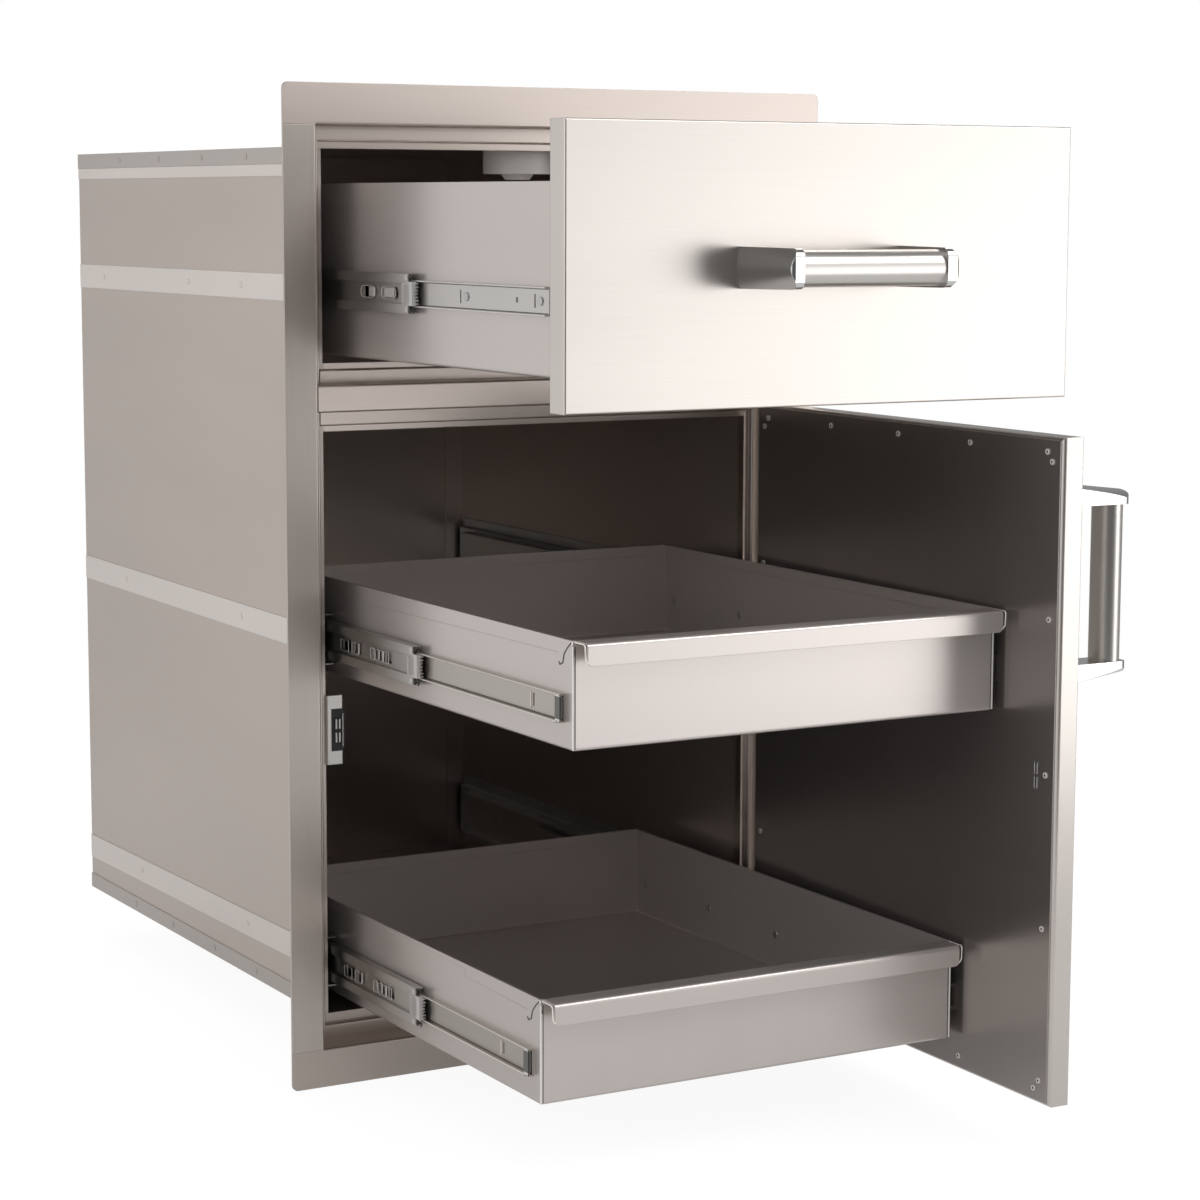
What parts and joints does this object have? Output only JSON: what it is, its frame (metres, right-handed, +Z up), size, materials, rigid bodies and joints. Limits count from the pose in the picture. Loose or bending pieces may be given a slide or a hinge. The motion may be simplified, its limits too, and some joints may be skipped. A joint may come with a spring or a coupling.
{
  "type": "outdoor kitchen drawer unit",
  "caption": "Stainless built-in kitchen island unit: drawer on top, two pull-out trays behind a hinged door, on full-extension slides in a sheet case with a face frame.",
  "frame": {"origin": "centre of the bottom rail's back face, where the face frame rests on the front of the island", "axes": "+X to the right seen from the front, +Y from the face frame to the back of the case, +Z up"},
  "size_m": [0.5203, 1.0338, 0.81],
  "materials": {
    "ball_steel": "polished",
    "box_sheet": "satin sheet",
    "brushed_frame": "brushed along each rail",
    "brushed_front": "brushed from side to side",
    "buffer_plastic": "smooth",
    "bush_brass": "turned",
    "cage_plastic": "smooth",
    "case_cover": "plain rolled sheet, dull",
    "case_sheet": "plain rolled sheet, dull",
    "case_strap": "plain rolled sheet, a little lighter",
    "catch_bracket": "satin",
    "catch_plastic": "fine grain",
    "door_liner": "smooth sheet, mirror-like at low angles",
    "handle_post": "polished",
    "handle_tube": "satin, brushed round the tube",
    "inner_sheet": "plain rolled sheet",
    "rivet_steel": "plain",
    "screw_steel": "plain",
    "slide_steel": "bright zinc plated",
    "zinc_plated": "zinc plated"
  },
  "bodies": {
    "cabinet": {"frame_top_rail": "brushed_frame", "frame_bottom_rail": "brushed_frame", "frame_left_stile": "brushed_frame", "frame_right_stile": "brushed_frame", "frame_mid_rail": "brushed_frame", "case_left_panel": "case_sheet", "case_right_panel": "case_sheet", "case_back_panel": "case_sheet", "case_top_cover": "case_cover", "case_bottom_pan": "case_cover", "outer_straps": "case_strap", "slide_mounting_rails": "zinc_plated", "cabinet_slide_screws": "screw_steel", "hinge_bushes": "bush_brass", "door_catch_bracket": "catch_bracket", "door_catch": "catch_plastic", "top_buffer": "buffer_plastic", "top_left_cabinet_member": "slide_steel", "top_right_cabinet_member": "slide_steel", "middle_left_cabinet_member": "slide_steel", "middle_right_cabinet_member": "slide_steel", "lower_left_cabinet_member": "slide_steel", "lower_right_cabinet_member": "slide_steel"},
    "top_drawer": {"drawer_front_skin": "brushed_front", "drawer_front_backing": "inner_sheet", "top_drawer_box": "box_sheet", "drawer_handle_tube": "handle_tube", "drawer_handle_posts": "handle_post", "drawer_handle_screws": "screw_steel", "top_left_drawer_member": "slide_steel", "top_right_drawer_member": "slide_steel", "top_slide_rivets": "screw_steel"},
    "middle_tray": {"middle_tray": "box_sheet", "middle_left_drawer_member": "slide_steel", "middle_right_drawer_member": "slide_steel", "middle_slide_rivets": "screw_steel"},
    "lower_tray": {"lower_tray": "box_sheet", "lower_left_drawer_member": "slide_steel", "lower_right_drawer_member": "slide_steel", "lower_slide_rivets": "screw_steel"},
    "top_slide_middles": {"top_left_intermediate": "slide_steel", "top_right_intermediate": "slide_steel", "top_slide_balls": "ball_steel", "top_ball_cages": "cage_plastic"},
    "middle_slide_middles": {"middle_left_intermediate": "slide_steel", "middle_right_intermediate": "slide_steel", "middle_slide_balls": "ball_steel", "middle_ball_cages": "cage_plastic"},
    "lower_slide_middles": {"lower_left_intermediate": "slide_steel", "lower_right_intermediate": "slide_steel", "lower_slide_balls": "ball_steel", "lower_ball_cages": "cage_plastic"},
    "door": {"door_skin": "brushed_front", "door_liner": "door_liner", "door_strike_plate": "zinc_plated", "door_liner_rivets": "rivet_steel", "door_hinge_pins": "screw_steel", "door_handle_tube": "handle_tube", "door_handle_posts": "handle_post", "door_handle_screws": "screw_steel"}
  },
  "joints": [
    {"name": "top_drawer_slide", "type": "slide", "parent": "cabinet", "child": "top_drawer", "axis": [0, -1, 0], "range_m": [-0.39, 0.11]},
    {"name": "middle_tray_slide", "type": "slide", "parent": "cabinet", "child": "middle_tray", "axis": [0, -1, 0], "range_m": [-0.389, 0.111]},
    {"name": "lower_tray_slide", "type": "slide", "parent": "cabinet", "child": "lower_tray", "axis": [0, -1, 0], "range_m": [-0.342, 0.158]},
    {"name": "top_middles_slide", "type": "slide", "parent": "cabinet", "child": "top_slide_middles", "axis": [0, -1, 0], "range_m": [-0.1797, 0.0508]},
    {"name": "middle_middles_slide", "type": "slide", "parent": "cabinet", "child": "middle_slide_middles", "axis": [0, -1, 0], "range_m": [-0.1615, 0.0462]},
    {"name": "lower_middles_slide", "type": "slide", "parent": "cabinet", "child": "lower_slide_middles", "axis": [0, -1, 0], "range_m": [-0.1632, 0.0755]},
    {"name": "door_hinge", "type": "hinge", "parent": "cabinet", "child": "door", "pos_m": [0.2118, 0.0032, 0.2751], "axis": [0, 0, 1], "range_deg": [0, 30]}
  ],
  "couplings": [
    {"joint": "top_middles_slide", "follows": "top_drawer_slide", "ratio": 0.46026},
    {"joint": "middle_middles_slide", "follows": "middle_tray_slide", "ratio": 0.41491},
    {"joint": "lower_middles_slide", "follows": "lower_tray_slide", "ratio": 0.47661}
  ]
}
